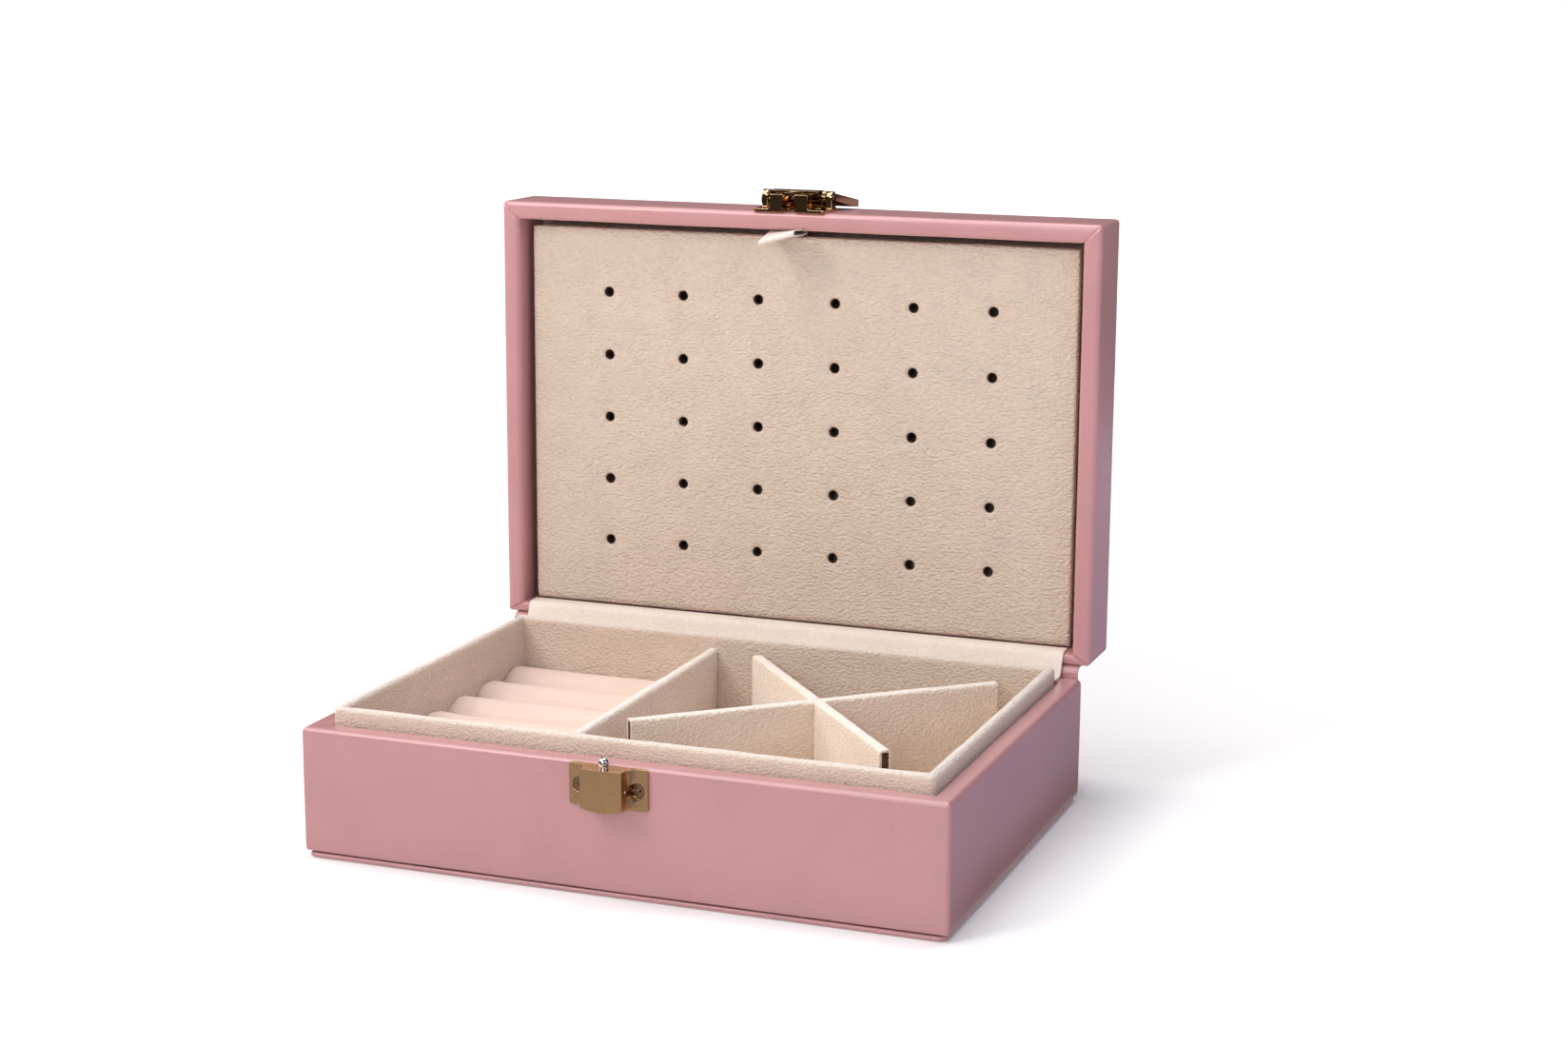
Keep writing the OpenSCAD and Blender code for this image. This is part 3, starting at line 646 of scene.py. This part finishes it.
def cross_cover(letter, angle, half, slot_low, slot_high, body):
    """The cloth over both faces and the top of a crossing board, with its slot left open."""
    half_t, half_slot, radius = CROSS_T / 2, CROSS_SLOT / 2, 0.85
    top, low = DIVIDER_Z, FLOOR_Z + 0.3
    heights = [low, 8, 11, 14, 17, CROSS_SLOT_Z, 22, 25, 28, 31]
    section = [(-half_t, z) for z in heights]
    section += [(x, z) for x, z in arc((-half_t + radius, top - radius), radius, 180, 90, 4)]
    section += [(x, z) for x, z in arc((half_t - radius, top - radius), radius, 90, 0, 4)]
    section += [(half_t, z) for z in reversed(heights)]
    insets = (0, 0.3, 0.8)
    stations = edged_steps(-half, -half_slot, 2.2, insets) + edged_steps(half_slot, half, 2.2, insets)
    turn = Matrix.Rotation(math.radians(angle), 4, "Z")
    points, faces = [], []
    for s in stations:
        for t, z in section:
            fray = 0.12 * noise.noise(Vector((z, t * 3, s))) if abs(s) > half - 0.1 else 0
            spot = turn @ Vector((s + math.copysign(fray, s), t, z)) + Vector((*CROSSING, 0))
            points.append(tuple(spot))
    wide = len(section)
    for j in range(len(stations) - 1):
        for i in range(wide - 1):
            mid_s = (stations[j] + stations[j + 1]) / 2
            mid_z = (section[i][1] + section[i + 1][1]) / 2
            if abs(mid_s) < half_slot and slot_low < mid_z < slot_high:
                continue
            a = j * wide + i
            faces.append((a, a + 1, a + wide + 1, a + wide))
    cover = make(f"velvet_cross_board_{letter}", points, faces, velvet_boards_lit)
    uneven(cover, 0.10, 7, 7 + angle / 30)
    thickened(cover, 0.6, -1)
    return settle(cover, body, "velvet_beige", f"cross_board_{letter}_cover")


# ---------- earring panel ----------

PANEL_X, PANEL_FREE, PANEL_HINGED = 77.2, -50.7, 54.1
PANEL_FACE, PANEL_T = 5.0, 3.0
HOLE_X, HOLE_Y, HOLE_SHIFT = 21.8, 17.25, 1.1
PUCKER_R = 4.2


def panel_face(stations_x, stations_y, cells, sign):
    """One face of the panel as a grid with round holes; sign is 1 in front and -1 behind."""
    points, faces, index = [], [], {}

    def point(x, y, z):
        key = (round(x, 3), round(y, 3), round(z, 3))
        if key not in index:
            index[key] = len(points)
            points.append((x, y, z))
        return index[key]

    base = PANEL_FACE if sign > 0 else PANEL_FACE + PANEL_T
    limit_x, limit_y = 3 * HOLE_X, 2.5 * HOLE_Y
    for x0, x1 in zip(stations_x, stations_x[1:]):
        for y0, y1 in zip(stations_y, stations_y[1:]):
            mid_x, mid_y = (x0 + x1) / 2, (y0 + y1) / 2
            if abs(mid_x) < limit_x and abs(mid_y - HOLE_SHIFT) < limit_y:
                continue
            corners = [(x0, y0), (x1, y0), (x1, y1), (x0, y1)]
            faces.append([point(x, y, base) for x, y in corners])
    rim = [(1.32, 1.5), (1.3, 0.9), (1.34, 0.6), (1.44, 0.36), (1.62, 0.18), (1.9, 0.07)]
    rim += [(2.4, 0.01), (PUCKER_R, 0)]
    for cx, cy in cells:
        edge = []
        for k in range(8):
            edge.append((cx - HOLE_X / 2 + HOLE_X * k / 8, cy - HOLE_Y / 2))
        for k in range(8):
            edge.append((cx + HOLE_X / 2, cy - HOLE_Y / 2 + HOLE_Y * k / 8))
        for k in range(8):
            edge.append((cx + HOLE_X / 2 - HOLE_X * k / 8, cy + HOLE_Y / 2))
        for k in range(8):
            edge.append((cx - HOLE_X / 2, cy + HOLE_Y / 2 - HOLE_Y * k / 8))
        loops = []
        for radius, depth in rim:
            loop = []
            for ex, ey in edge:
                away = Vector((ex - cx, ey - cy)).normalized()
                wobble = 1 + 0.03 * noise.noise(Vector((away.x * 2 + cx, away.y * 2 + cy, 1)))
                loop.append(point(
                    cx + away.x * radius * wobble, cy + away.y * radius * wobble, base + sign * depth
                ))
            loops.append(loop)
        for share in (0.35, 0.7, 1.0):
            loop = []
            for ex, ey in edge:
                away = Vector((ex - cx, ey - cy)).normalized() * PUCKER_R
                x = cx + away.x + (ex - cx - away.x) * share
                y = cy + away.y + (ey - cy - away.y) * share
                loop.append(point(x, y, base))
            loops.append(loop)
        for inner, outer in zip(loops, loops[1:]):
            for i in range(32):
                j = (i + 1) % 32
                faces.append([inner[i], inner[j], outer[j], outer[i]])
    return points, faces


def panel_cover():
    """The velvet over the earring panel, rounded at its edges and thin at its hinged end."""
    inset = 0.8
    border_x, border_y = 3 * HOLE_X, (HOLE_SHIFT - 2.5 * HOLE_Y, HOLE_SHIFT + 2.5 * HOLE_Y)
    xs = steps(-PANEL_X + inset, -border_x, 2.0)
    xs += steps(-border_x, border_x, HOLE_X / 8)[1:-1] + steps(border_x, PANEL_X - inset, 2.0)
    ys = steps(PANEL_FREE + inset, border_y[0], 2.0)
    ys += steps(*border_y, HOLE_Y / 8)[1:-1] + steps(border_y[1], PANEL_HINGED - inset, 1.4)
    cells = [
        (HOLE_X * (i - 2.5), HOLE_SHIFT + HOLE_Y * (j - 2)) for i in range(6) for j in range(5)
    ]
    front, front_faces = panel_face(xs, ys, cells, 1)
    back, back_faces = panel_face(xs, ys, cells, -1)
    points = front + back
    faces = front_faces + [[i + len(front) for i in reversed(f)] for f in back_faces]
    edge = [(x, ys[0], 0, -1) for x in xs] + [(xs[-1], y, 1, 0) for y in ys[1:-1]]
    edge += [(x, ys[-1], 0, 1) for x in reversed(xs)] + [(xs[0], y, -1, 0) for y in reversed(ys[1:-1])]
    corner = {(xs[0], ys[0]), (xs[-1], ys[0]), (xs[0], ys[-1]), (xs[-1], ys[-1])}
    turned = [(0, 0), (0.30, 0.04), (0.57, 0.18), (0.74, 0.42), (0.8, 0.8), (0.8, 1.5)]
    turned += [(out, PANEL_T - depth) for out, depth in reversed(turned)]
    start = len(points)
    for out, depth in turned:
        for x, y, nx, ny in edge:
            if (x, y) in corner:
                nx, ny = math.copysign(0.82, x), math.copysign(0.82, y)
            points.append((x + nx * out, y + ny * out, PANEL_FACE + depth))
    count = len(edge)
    for k in range(len(turned) - 1):
        for i in range(count):
            j = (i + 1) % count
            a, b = start + k * count, start + (k + 1) * count
            faces.append([a + i, a + j, b + j, b + i])
    middle, axis = PANEL_FACE + PANEL_T / 2, PANEL_HINGED - PANEL_T / 2
    shaped = []
    for x, y, z in points:
        if y > axis:
            room = math.sqrt(max(0.0, (PANEL_T / 2) ** 2 - (y - axis) ** 2))
            z = middle + max(-room, min(room, z - middle))
        shaped.append((x, y, z))
    cover = make("velvet_earring_panel", shaped, faces, velvet_panel, place=open_lid)
    uneven(cover, 0.10, 12, 9)
    return settle(cover, "panel", "velvet_beige", "earring_panel_velvet")


# ---------- cloth hinge and pull tab ----------

def strip(name, path, half_x, mat, thickness, wave):
    """A strip of sheet along a path of (y, z), running the box's width."""
    points = []
    xs = edged_steps(-half_x, half_x, 2.5)
    for x in xs:
        for i, (y, z) in enumerate(path):
            free = math.sin(math.pi * i / (len(path) - 1))
            lift = wave * free * noise.noise(Vector((x / 16, i / 5, 4)))
            points.append((x, y - lift * 0.6, z + lift))
    return thickened(make(name, points, grid(len(xs), len(path)), mat), thickness)


def spine_strip():
    """The leather strip down the back that the lid turns on."""
    bend, lid_bend, half_x = 1.7, 0.85, 81.3
    back_y, turn_y = HINGE_Y - bend, 77.6
    path = [(back_y, z) for z in steps(4, HINGE_Z, 2.5)]
    path += arc((HINGE_Y, HINGE_Z), bend, 180, 90, 8)[1:]
    path += [(y, HINGE_Z + bend) for y in steps(60.5, turn_y, 2.2)]
    path += arc((turn_y, HINGE_Z + bend + lid_bend), lid_bend, -90, 0, 4)[1:]
    path += [(turn_y + lid_bend, z) for z in steps(37.5, 43.8, 2.0)]
    piece = strip("leather_spine_strip", path, half_x, leather_pink, 0.5, 0.0)
    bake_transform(piece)
    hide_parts("hinge_spine_strip")


def lining_strip():
    """The velvet strip that covers the hinge from the tray's rear lip to the panel."""
    half_x = 77
    path = [(y, 33.3) for y in steps(52.1, 55.6, 0.9)]
    path += [(56.5, 33.7), (57.1, 34.6), (57.5, 35.8), (57.9, 37.0), (58.25, 38.1), (58.75, 38.9)]
    path += [(59.6, 39.2)]
    path += [(y, 39.22) for y in (60.6, 61.6, 62.5, 63.3)]
    piece = strip("velvet_hinge_lining", path, half_x, velvet_hinge, 0.45, 0.22)
    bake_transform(piece)
    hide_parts("hinge_lining_strip")


def pull_tab():
    """A ribbon loop that comes out over the panel's free edge, twisted up on one side."""
    left, width, out_y, root_y, mid_z = -7.0, 10.0, 51.6, 64.4, 145.45
    stations = steps(0, 1, 0.1)
    length = root_y - out_y
    rows = []
    for k in range(11):
        rows.append(("top", k / 10))
    for k in range(1, 8):
        rows.append(("fold", k / 8))
    for k in range(11):
        rows.append(("low", 1 - k / 10))
    points = []
    for kind, share in rows:
        for u in stations:
            rise = -2.1 + 3.0 * u
            gape = 0.45 + 0.2 * u
            if kind == "fold":
                angle = math.radians(90 - 180 * share)
                y = out_y + 0.3 - 0.5 * math.cos(angle)
                z = rise + gape * math.sin(angle)
                run = 1.0
            else:
                run = share
                y = root_y - (length - 0.3) * run
                spreading = gape * (0.35 + 0.65 * run) + 0.35 * u * math.sin(math.pi * run)
                z = rise * run ** 1.2 + (spreading if kind == "top" else -spreading)
            x = left + width * u + 0.9 * run
            points.append((x, y, mid_z + z))
    piece = make("ribbon_pull_tab", points, grid(len(rows), len(stations)), satin)
    settle(thickened(piece, 0.3), "panel", "satin_ribbon", "pull_tab")
    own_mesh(piece)


# ---------- inside of the lid ----------

def lid_lining():
    """The velvet on the inside of the lid's top, behind the panel."""
    back = LID_H - LID_TOP
    half_x, near, far = LID_X - LID_WALL, -BASE_Y + LID_WALL, BASE_Y - LID_REAR
    xs, ys = steps(-half_x, half_x, 2.6), steps(near, far, 2.6)
    points = [
        (x, y, back - 0.75 + 0.1 * noise.noise(Vector((x, y, 8)) / 10)) for y in ys for x in xs
    ]
    piece = make(
        "velvet_lid_lining", points, grid(len(ys), len(xs)), velvet_floor, place=open_lid
    )
    return settle(piece, "lid", "velvet_beige", "lid_lining")


def necklace_pocket():
    """A gathered pocket across the lower half of the lid, with an elastic edge along its mouth."""
    back, half_x, low_y, tall = LID_H - LID_TOP - 0.85, 60, 50, 42
    points = []
    xs, shares = steps(-half_x, half_x, 0.8), steps(0, 1, 0.06)
    for share in shares:
        y = low_y - tall * share
        for x in xs:
            side = min(1.0, (half_x - abs(x)) / 3.0)
            belly = 1.0 * math.sin(math.pi * min(1.0, share * 1.05) ** 0.8) + 0.5 * share
            phase = x * 1.9 + 1.5 * noise.noise(Vector((x / 9, y / 30, 2)))
            fold = 0.32 * math.sin(phase) * (0.3 + 0.7 * share)
            points.append((x, y, back - side * max(0.0, belly + fold * min(1, share * 4))))
    piece = make(
        "velvet_necklace_pocket", points, grid(len(shares), len(xs)), velvet_hinge, place=open_lid
    )
    settle(thickened(piece, 0.35), "lid", "velvet_beige", "necklace_pocket")


# ---------- carried-over CAD parts ----------

def finish_node(name, mat, rounding=0.0):
    """Gives a CAD node its material, and rounds its edges for the light."""
    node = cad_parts[name]
    for slot in node.material_slots:
        slot.material = mat
    if rounding:
        weld = node.modifiers.new("weld", "WELD")
        weld.merge_threshold = 0.002 * MM
        flat = node.modifiers.new("flat", "DECIMATE")
        flat.decimate_type, flat.angle_limit = "DISSOLVE", math.radians(0.1)
        bevel = node.modifiers.new("rounding", "BEVEL")
        bevel.width, bevel.segments = rounding * MM, 2
        bevel.limit_method, bevel.angle_limit = "ANGLE", math.radians(65)
        bevel.use_clamp_overlap = False
        node.modifiers.new("flat_faces", "WEIGHTED_NORMAL").weight = 100


def finish_cad_parts():
    """The boards, latch, screws, pins and hook bar are the CAD's own."""
    boards = [
        "base_floor_board", "base_front_board", "base_rear_board", "base_left_board", "base_right_board",
        "cross_board_a_core", "cross_board_b_core", "lid_top_board", "lid_front_board", "lid_rear_board",
        "lid_left_board", "lid_right_board", "earring_panel_board"
    ]
    for name in boards:
        finish_node(name, card)
    finish_node("base_latch_plate", gold_satin, 0.10)
    finish_node("lid_latch_plate", gold_polished, 0.10)
    finish_node("latch_lever", gold_painted_dark, 0.10)
    for name in ("base_latch_screw_left", "base_latch_screw_right"):
        finish_node(name, gold_painted_dark, 0.05)
    for name in ("lid_latch_screw_left", "lid_latch_screw_right", "strike_cross_pin"):
        finish_node(name, gold_polished, 0.05)
    for name in ("strike_pin", "latch_pivot_pin", "latch_spring"):
        finish_node(name, steel)
    finish_node("necklace_hook_bar", velvet_hinge, 0.15)


# ---------- studio ----------

def camera():
    """The photograph's view."""
    turn, rise, roll = math.radians(20.554), math.radians(11.772), math.radians(0.366)
    back = Vector((math.sin(turn) * math.cos(rise), -math.cos(turn) * math.cos(rise), math.sin(rise)))
    level = Vector((math.cos(turn), math.sin(turn), 0))
    upright = back.cross(level)
    right = math.cos(roll) * level + math.sin(roll) * upright
    up = math.cos(roll) * upright - math.sin(roll) * level
    data = bpy.data.cameras.new("camera")
    data.sensor_width, data.lens = 36.0, 62.92
    data.clip_start, data.clip_end = 0.05, 60
    eye = bpy.data.objects.new("camera", data)
    place = Matrix((right, up, back)).transposed().to_4x4()
    place.translation = Vector((252.13, -616.67, 217.95)) * MM
    eye.matrix_world = place
    bpy.context.scene.collection.objects.link(eye)
    bpy.context.scene.camera = eye


def softbox(name, place, target, size, power, color):
    """A soft rectangular lamp that faces the target."""
    data = bpy.data.lights.new(name, "AREA")
    data.shape, data.size, data.size_y = "RECTANGLE", size[0], size[1]
    data.energy, data.color = power, color
    lamp = bpy.data.objects.new(name, data)
    lamp.location = place
    lamp.rotation_euler = (Vector(target) - Vector(place)).to_track_quat("-Z", "Y").to_euler()
    bpy.context.scene.collection.objects.link(lamp)


def reflected(name, area, color, strength):
    """A glowing patch under the floor, seen only in reflections: a painted reflection standing in for the
    studio floor as polished surfaces mirror it.
    """
    mat, tree, shader = material(name, (0.9, 0.9, 0.9), 0.8)
    shader.inputs["Emission Color"].default_value = (*color, 1)
    shader.inputs["Emission Strength"].default_value = strength
    left, front, right, rear = area
    patch = make(name, [
        (left, front, -0.5), (right, front, -0.5), (right, rear, -0.5), (left, rear, -0.5)
    ], [(0, 1, 2, 3)], mat)
    patch.visible_camera = patch.visible_diffuse = patch.visible_shadow = False


def studio():
    """A pale floor, a faint sky, two glowing patches seen only in reflections and six soft lamps."""
    scene = bpy.context.scene
    scene.view_settings.view_transform = "Standard"
    mat, tree, shader = material("studio_floor", (0.93, 0.93, 0.93), 0.8, specular=0.1)
    shader.inputs["Emission Color"].default_value = (1, 1, 1, 1)
    place = add(tree, "ShaderNodeNewGeometry")
    away = add(tree, "ShaderNodeVectorMath", operation="LENGTH")
    tree.links.new(place.outputs["Position"], away.inputs[0])
    glow = spread(tree, away.outputs["Value"], 0.35, 1.6, 0.05, 0.97)
    tree.links.new(glow, shader.inputs["Emission Strength"])
    cloud = noise_at(tree, stretched_space(tree, (1, 1, 1)), 3, 2)
    tree.links.new(
        ramp(tree, cloud, [(0, (0.92, 0.92, 0.92)), (1, (0.94, 0.94, 0.94))]), shader.inputs["Base Color"]
    )
    reach = 25000
    floor = make("studio_floor", [
        (-reach, -reach, 0), (reach, -reach, 0), (reach, reach, 0), (-reach, reach, 0)
    ], [(0, 1, 2, 3)], mat)
    floor.visible_glossy = False
    # Painted reflections: a warm patch of floor in front and a blue patch on the right that tints the right
    # sides.
    reflected("studio_bounce", (-380, -300, 84, 420), (1.0, 0.95, 0.92), 0.4)
    reflected("studio_shade", (92, -300, 700, 620), (0.46, 0.38, 1.0), 0.17)
    world = bpy.data.worlds.new("studio_world")
    scene.world = world
    world.use_nodes = True
    tree = world.node_tree
    soft = tree.nodes["Background"]
    soft.inputs["Color"].default_value = (0.90, 0.92, 1.0, 1)
    soft.inputs["Strength"].default_value = 0.08
    dark = add(tree, "ShaderNodeBackground", Color=(0.035, 0.030, 0.028, 1), Strength=1.0)
    rays = add(tree, "ShaderNodeLightPath")
    mix = add(tree, "ShaderNodeMixShader")
    tree.links.new(rays.outputs["Is Glossy Ray"], mix.inputs[0])
    tree.links.new(soft.outputs[0], mix.inputs[1])
    tree.links.new(dark.outputs[0], mix.inputs[2])
    tree.links.new(mix.outputs[0], tree.nodes["World Output"].inputs["Surface"])
    aim = (0, 0, 0.07)
    softbox("key", (-0.75, -1.05, 1.15), aim, (0.45, 0.45), 7.6, (1.0, 0.965, 0.94))
    softbox("front_fill", (0.05, -1.6, 0.7), aim, (1.0, 0.8), 8.8, (1.0, 1.0, 0.97))
    softbox("top", (0.1, 0.35, 1.5), aim, (0.9, 0.7), 11.5, (0.97, 0.98, 1.0))
    softbox("top_front", (-0.5, -0.35, 1.4), aim, (1.1, 0.8), 8.5, (1.0, 1.0, 0.98))
    softbox("left", (-1.4, 0.1, 0.9), aim, (0.8, 0.8), 11.0, (1.0, 0.89, 0.80))
    softbox("right", (1.3, -0.5, 0.7), aim, (0.8, 0.8), 4.0, (0.74, 0.72, 1.0))


# ---------- the object ----------

camera()
studio()
base_wrap()
bottom_card()
lid_wrap()
tray_walls()
tray_floor()
ring_rolls()
main_divider()
cross_cover("a", 42.5, 50, 0, 19.5, "cross_upper")
cross_cover("b", -50.1, 47, 19.4, 99, "cross_lower")
panel_cover()
spine_strip()
lining_strip()
pull_tab()
lid_lining()
necklace_pocket()
finish_cad_parts()
